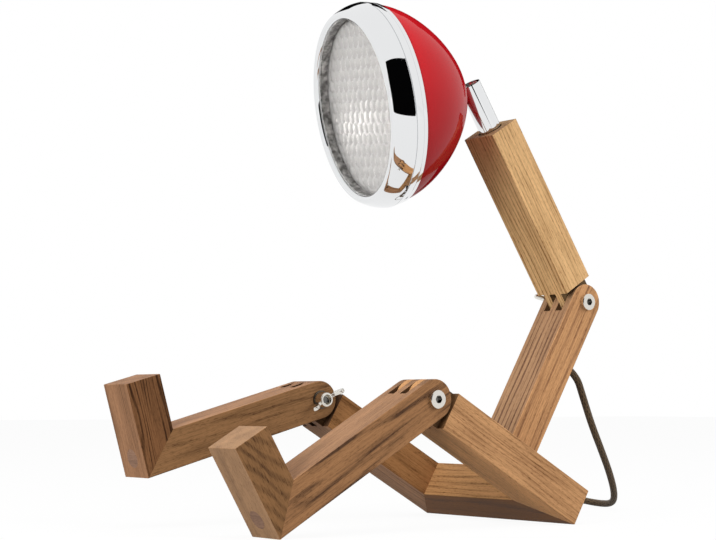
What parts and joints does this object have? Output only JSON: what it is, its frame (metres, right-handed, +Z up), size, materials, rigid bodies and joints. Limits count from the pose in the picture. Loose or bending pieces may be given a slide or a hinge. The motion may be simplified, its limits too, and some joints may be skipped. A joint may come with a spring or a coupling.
{
  "type": "robot shaped desk lamp",
  "caption": "Seated figure desk lamp of jointed wooden bars with wing nut hinges, a swivelling headlamp with a chrome bezel, and a textile cord with switch and plug.",
  "frame": {"origin": "on the ground, midway along the lamp's width and its length from the higher toe to the back of the waist, without the cord", "axes": "+Z up, the lamp faces -Y, +X towards its left leg"},
  "size_m": [0.2515, 0.3712, 0.3113],
  "materials": {
    "leg_wood": "satin oiled",
    "lower_torso_wood": "satin oiled",
    "upper_torso_wood": "satin oiled",
    "dowel_wood": "plain",
    "bowl_paint": "gloss enamel",
    "chrome_plate": "polished",
    "plated_steel": "bright plated",
    "bush_brass": "machined",
    "lens_glass": "moulded",
    "reflector_metal": "polished",
    "gasket_rubber": "matt",
    "holder_plastic": "matt",
    "bulb_glass": "frosted",
    "cord_textile": "braided",
    "cord_fittings": "satin",
    "plug_pin_metal": "nickel plated"
  },
  "bodies": {
    "hips_and_lower_torso": {"crossbar": "leg_wood", "thigh_left": "leg_wood", "thigh_right": "leg_wood", "mitre_dowel_left": "dowel_wood", "mitre_dowel_right": "dowel_wood", "lower_torso": "lower_torso_wood", "torso_dowels": "dowel_wood", "waist_bolt": "plated_steel", "waist_washer": "plated_steel", "cord_gland": "cord_fittings", "cord_hanging": "cord_textile", "cord_middle": "cord_textile", "cord_plug_end": "cord_textile", "cord_coil": "cord_textile", "switch_base": "cord_fittings", "switch_cover": "cord_fittings", "plug_body": "cord_fittings", "plug_pins": "plug_pin_metal"},
    "left_lower_leg": {"shin_left": "leg_wood", "foot_left": "leg_wood", "heel_plug_left": "leg_wood", "heel_screw_left": "plated_steel", "knee_left_bolt": "plated_steel", "knee_left_washer": "plated_steel"},
    "right_lower_leg": {"shin_right": "leg_wood", "foot_right": "leg_wood", "heel_plug_right": "leg_wood", "heel_screw_right": "plated_steel", "knee_right_bolt": "plated_steel", "knee_right_washer": "plated_steel"},
    "chest": {"upper_torso": "upper_torso_wood", "neck_bush": "bush_brass"},
    "neck": {"neck_tube": "chrome_plate", "tilt_fork": "plated_steel", "tilt_pin": "plated_steel", "neck_collar": "plated_steel"},
    "head": {"tilt_tab": "chrome_plate", "bowl": "bowl_paint", "bezel": "chrome_plate", "lens": "lens_glass", "lens_gasket": "gasket_rubber", "reflector": "reflector_metal", "stud_washer": "plated_steel", "stud_nut": "plated_steel", "lamp_holder": "holder_plastic", "bulb": "bulb_glass"},
    "left_knee_nut": {"knee_left_wing_nut": "plated_steel"},
    "right_knee_nut": {"knee_right_wing_nut": "plated_steel"},
    "waist_nut": {"waist_wing_nut": "plated_steel"},
    "rocker": {"switch_rocker": "cord_fittings"}
  },
  "joints": [
    {"name": "left_knee", "type": "hinge", "parent": "hips_and_lower_torso", "child": "left_lower_leg", "pos_m": [0.05625, -0.02246, 0.07278], "axis": [1, 0, 0], "range_deg": [-155.6, 34.4]},
    {"name": "right_knee", "type": "hinge", "parent": "hips_and_lower_torso", "child": "right_lower_leg", "pos_m": [-0.05625, -0.02246, 0.07278], "axis": [1, 0, 0], "range_deg": [-88, 49.1]},
    {"name": "waist", "type": "hinge", "parent": "hips_and_lower_torso", "child": "chest", "pos_m": [0, 0.14233, 0.13429], "axis": [1, 0, 0], "range_deg": [-92.5, 32.5]},
    {"name": "neck_swivel", "type": "hinge", "parent": "chest", "child": "neck", "pos_m": [0, 0.06144, 0.26274], "axis": [0, -0.5329, 0.8462], "range_deg": [-136, 164]},
    {"name": "head_tilt", "type": "hinge", "parent": "neck", "child": "head", "pos_m": [0, 0.06144, 0.26274], "axis": [0.9703, -0.2047, -0.1289], "range_deg": [-39.7, 18.3]},
    {"name": "left_knee_nut_turn", "type": "hinge", "parent": "left_lower_leg", "child": "left_knee_nut", "pos_m": [0.03625, -0.02246, 0.07278], "axis": [-1, 0, 0], "continuous": true},
    {"name": "right_knee_nut_turn", "type": "hinge", "parent": "right_lower_leg", "child": "right_knee_nut", "pos_m": [-0.03625, -0.02246, 0.07278], "axis": [1, 0, 0], "continuous": true},
    {"name": "waist_nut_turn", "type": "hinge", "parent": "hips_and_lower_torso", "child": "waist_nut", "pos_m": [-0.02, 0.14233, 0.13429], "axis": [-1, 0, 0], "continuous": true},
    {"name": "switch_rock", "type": "hinge", "parent": "hips_and_lower_torso", "child": "rocker", "pos_m": [-0.12196, 0.19882, 0.0118], "axis": [0.2419, -0.9703, 0], "range_deg": [0, 18]}
  ]
}
